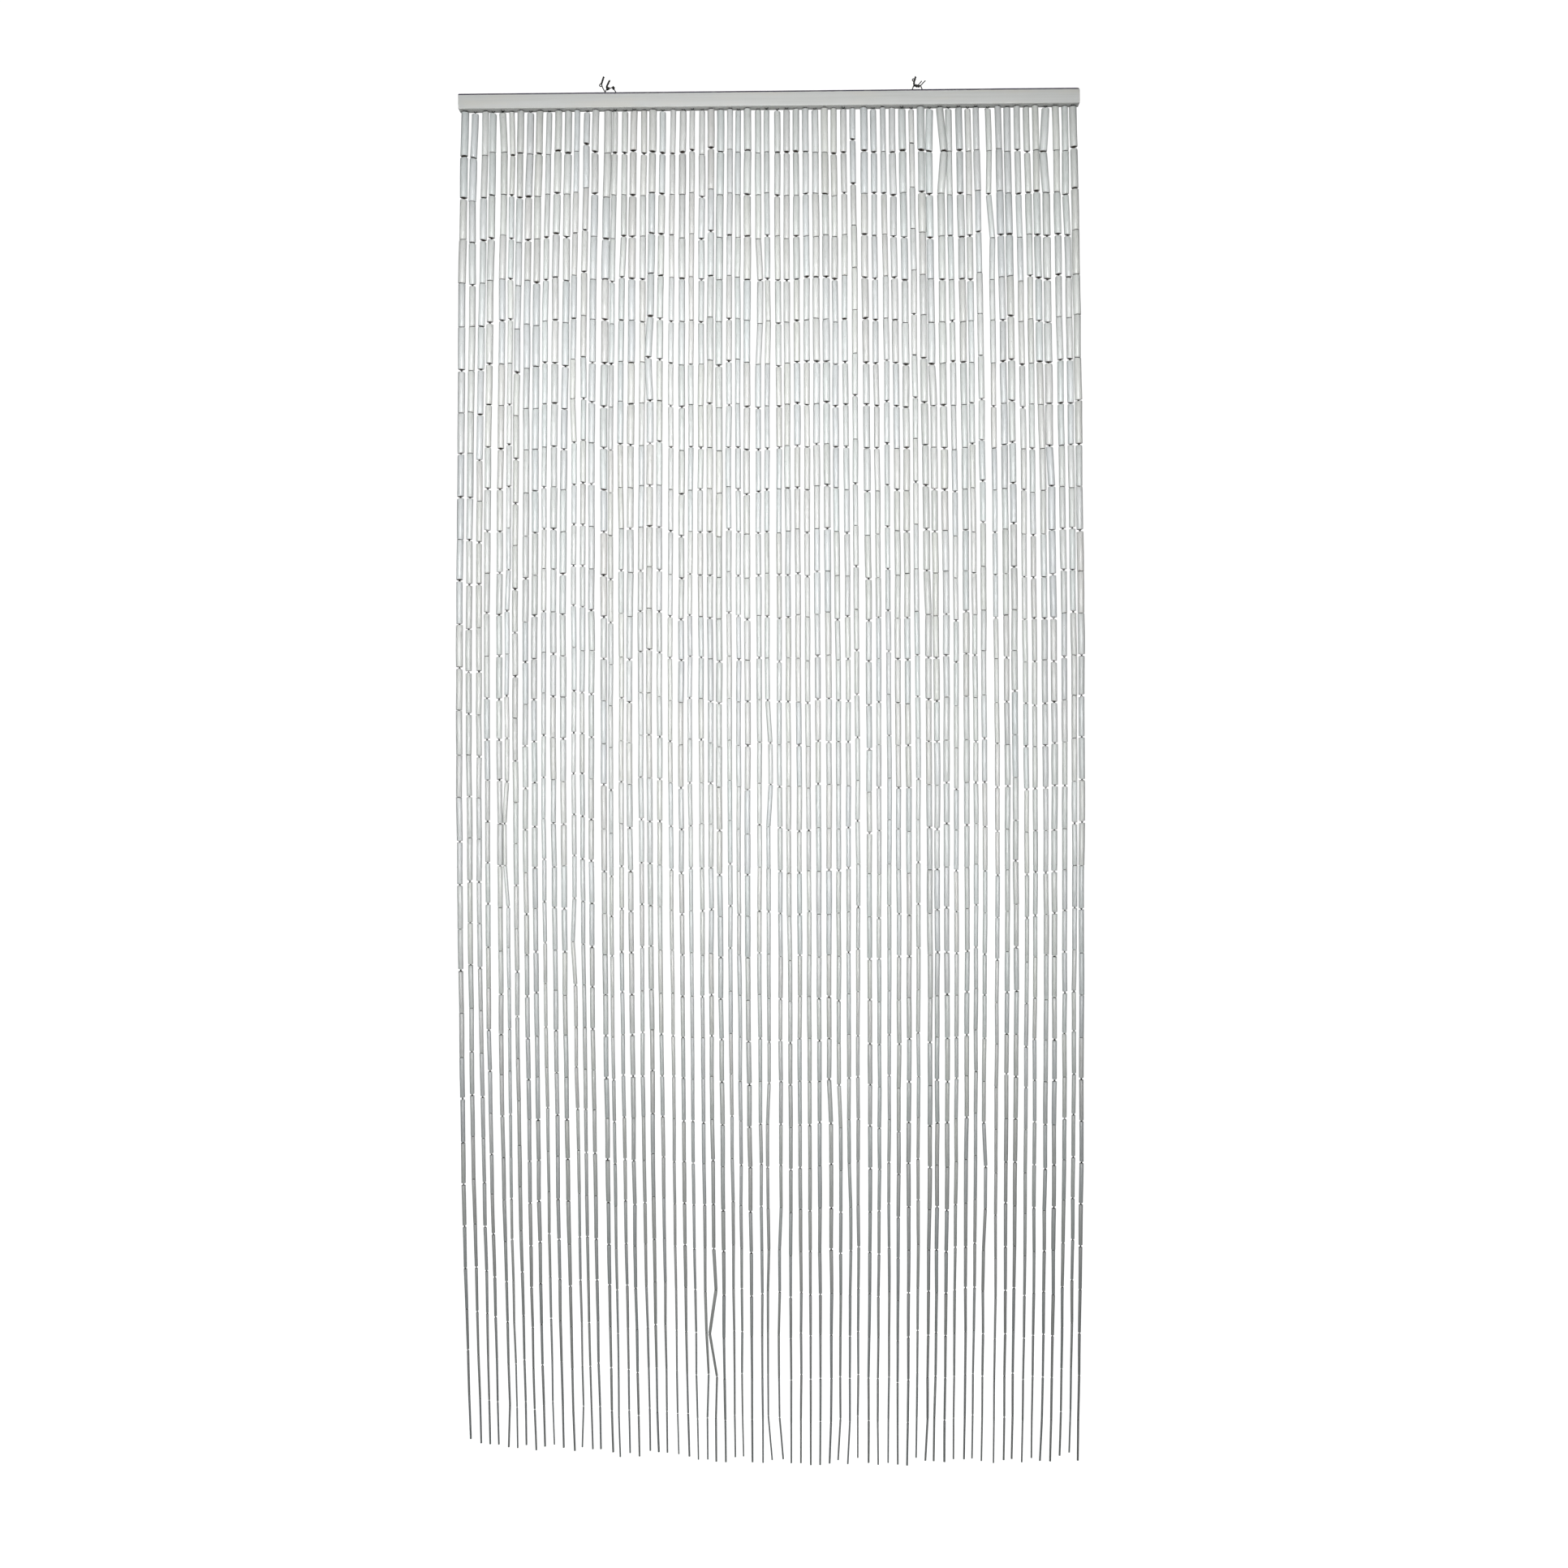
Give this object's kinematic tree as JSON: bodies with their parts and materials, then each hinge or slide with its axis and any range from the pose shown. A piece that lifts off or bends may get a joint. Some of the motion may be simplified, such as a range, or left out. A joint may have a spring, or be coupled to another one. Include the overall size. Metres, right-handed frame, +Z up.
{
  "type": "bead curtain",
  "caption": "Door curtain of white-painted bamboo tubes, linked end to end by wire loops into hanging strands under a wooden slat with wire hangers.",
  "frame": {"origin": "middle of the header slat's top face, where the curtain is held up", "axes": "+Z up, +X along the slat to the right as seen from the front, -Y to the front"},
  "size_m": [0.9128, 0.0192, 2.0186],
  "materials": {
    "painted_wood": "satin white paint over softwood",
    "painted_bamboo": "satin off-white paint over bamboo cane",
    "steel_wire": "dull dark wire"
  },
  "bodies": {
    "root": {"header_slat": "painted_wood", "strands": "painted_bamboo", "hanger_left": "steel_wire", "hanger_right": "steel_wire"}
  },
  "joints": []
}
